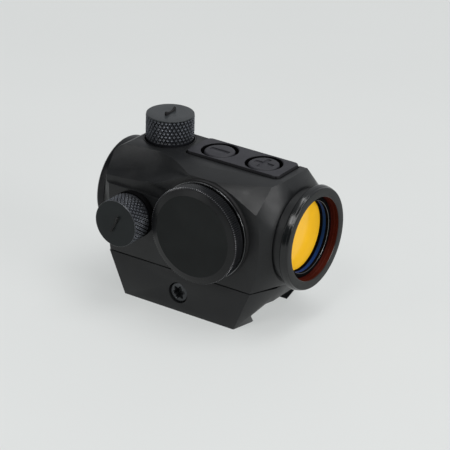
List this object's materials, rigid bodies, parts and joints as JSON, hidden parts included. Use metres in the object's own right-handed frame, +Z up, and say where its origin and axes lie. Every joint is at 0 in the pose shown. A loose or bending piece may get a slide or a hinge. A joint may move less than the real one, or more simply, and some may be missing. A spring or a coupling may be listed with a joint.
{
  "type": "red dot finder",
  "caption": "Compact tube reflex sight with an amber coated lens, capped elevation and windage dials, button pad, coin cell bay and rail clamp base.",
  "frame": {"origin": "on the rail seat plane of the base, in the vertical plane of the optical axis, straight below the battery cap's axis", "axes": "+X towards the battery cap, +Y along the optical axis towards the objective, +Z up from the rail seat"},
  "size_m": [0.0417, 0.0597, 0.0481],
  "materials": {
    "matte_black": "matte hard anodised",
    "satin_black": "satin anodised",
    "gloss_black": "gloss anodised",
    "polished_ring": "polished",
    "steel": "plain",
    "black_steel": "black oxide",
    "brass": "turned",
    "pad_rubber": "matte",
    "seal_rubber": "plain",
    "board": "green solder mask",
    "amber_glass": "amber reflecting coat",
    "clear_glass": "coated",
    "lamp": "clear red"
  },
  "bodies": {
    "sight": {"housing": "matte_black", "objective_bezel": "gloss_black", "objective_retainer": "satin_black", "eyepiece_ring": "gloss_black", "eyepiece_window": "clear_glass", "eyepiece_spacer": "satin_black", "return_spring": "steel", "circuit_board": "board", "battery_contact": "brass", "coin_cell": "steel", "battery_ring": "polished_ring", "button_pad": "pad_rubber", "minus_switch": "steel", "plus_switch": "steel", "elevation_bushing": "satin_black", "windage_bushing": "satin_black", "windage_collar": "satin_black", "rail_base": "matte_black", "base_screw_rear_left": "steel", "base_screw_rear_right": "steel", "base_screw_front_left": "steel", "base_screw_front_right": "steel"},
    "battery_seal": {"battery_o_ring": "seal_rubber"},
    "battery_cap": {"battery_cap": "satin_black", "battery_thread": "satin_black"},
    "elevation_seal": {"elevation_o_ring": "seal_rubber"},
    "elevation_cap": {"elevation_cap": "satin_black"},
    "windage_seal": {"windage_o_ring": "seal_rubber"},
    "windage_cap": {"windage_cap": "satin_black"},
    "elevation_dial": {"elevation_dial": "brass"},
    "elevation_plunger": {"elevation_plunger": "brass"},
    "windage_dial": {"windage_dial": "brass"},
    "windage_plunger": {"windage_plunger": "brass"},
    "tube_pivot": {"pivot_ring": "brass"},
    "inner_tube": {"inner_tube": "satin_black", "objective_lens": "amber_glass", "light_baffle": "satin_black", "emitter_block": "board", "emitter_lamp": "lamp"},
    "minus_button": {"minus_button": "pad_rubber"},
    "plus_button": {"plus_button": "pad_rubber"},
    "cross_bolt": {"cross_bolt": "black_steel"},
    "clamp_jaw": {"clamp_jaw": "matte_black", "clamp_nut": "black_steel"}
  },
  "joints": [
    {"name": "battery_cap_lift", "type": "slide", "parent": "sight", "child": "battery_seal", "axis": [1, 0, 0], "range_m": [0, 0.002]},
    {"name": "battery_cap_turn", "type": "hinge", "parent": "battery_seal", "child": "battery_cap", "pos_m": [0.018, 0, 0.0194], "axis": [1, 0, 0], "range_deg": [0, 722]},
    {"name": "elevation_cap_lift", "type": "slide", "parent": "sight", "child": "elevation_seal", "axis": [0, 0, 1], "range_m": [0, 0.00225]},
    {"name": "elevation_cap_turn", "type": "hinge", "parent": "elevation_seal", "child": "elevation_cap", "pos_m": [0, -0.0218, 0.038], "axis": [0, 0, 1], "range_deg": [0, 1082]},
    {"name": "windage_cap_lift", "type": "slide", "parent": "sight", "child": "windage_seal", "axis": [1, 0, 0], "range_m": [0, 0.00225]},
    {"name": "windage_cap_turn", "type": "hinge", "parent": "windage_seal", "child": "windage_cap", "pos_m": [0.019, -0.0218, 0.0179], "axis": [1, 0, 0], "range_deg": [0, 1082]},
    {"name": "elevation_dial_turn", "type": "hinge", "parent": "sight", "child": "elevation_dial", "pos_m": [0, -0.0218, 0.038], "axis": [0, 0, 1], "range_deg": [-361, 361]},
    {"name": "elevation_plunger_travel", "type": "slide", "parent": "sight", "child": "elevation_plunger", "axis": [0, 0, -1], "range_m": [-0.00035, 0.00035]},
    {"name": "windage_dial_turn", "type": "hinge", "parent": "sight", "child": "windage_dial", "pos_m": [0.019, -0.0218, 0.0179], "axis": [1, 0, 0], "range_deg": [-361, 361]},
    {"name": "windage_plunger_travel", "type": "slide", "parent": "sight", "child": "windage_plunger", "axis": [-1, 0, 0], "range_m": [-0.00035, 0.00035]},
    {"name": "tube_elevation_tilt", "type": "hinge", "parent": "sight", "child": "tube_pivot", "pos_m": [0, 0.0152, 0.0179], "axis": [1, 0, 0], "range_deg": [-0.56, 0.56]},
    {"name": "tube_windage_tilt", "type": "hinge", "parent": "tube_pivot", "child": "inner_tube", "pos_m": [0, 0.0152, 0.0179], "axis": [0, 0, -1], "range_deg": [-0.56, 0.56]},
    {"name": "minus_button_press", "type": "slide", "parent": "sight", "child": "minus_button", "axis": [0, 0, -1], "range_m": [0, 0.0007], "stiffness_N_per_m": 600, "springref_m": -0.0004},
    {"name": "plus_button_press", "type": "slide", "parent": "sight", "child": "plus_button", "axis": [0, 0, -1], "range_m": [0, 0.0007], "stiffness_N_per_m": 600, "springref_m": -0.0004},
    {"name": "cross_bolt_turn", "type": "hinge", "parent": "sight", "child": "cross_bolt", "pos_m": [0, -0.00795, -0.001], "axis": [1, 0, 0], "range_deg": [0, 722]},
    {"name": "clamp_jaw_travel", "type": "slide", "parent": "sight", "child": "clamp_jaw", "axis": [-1, 0, 0], "range_m": [0, 0.0016]}
  ],
  "couplings": [
    {"joint": "battery_cap_turn", "follows": "battery_cap_lift", "rad_per_m": 6283.2},
    {"joint": "elevation_cap_turn", "follows": "elevation_cap_lift", "rad_per_m": 8377.6},
    {"joint": "windage_cap_turn", "follows": "windage_cap_lift", "rad_per_m": 8377.6},
    {"joint": "elevation_dial_turn", "follows": "elevation_plunger_travel", "rad_per_m": 17952},
    {"joint": "tube_elevation_tilt", "follows": "elevation_plunger_travel", "rad_per_m": 27.027},
    {"joint": "windage_dial_turn", "follows": "windage_plunger_travel", "rad_per_m": 17952},
    {"joint": "tube_windage_tilt", "follows": "windage_plunger_travel", "rad_per_m": 27.027},
    {"joint": "cross_bolt_turn", "follows": "clamp_jaw_travel", "rad_per_m": 7854}
  ]
}
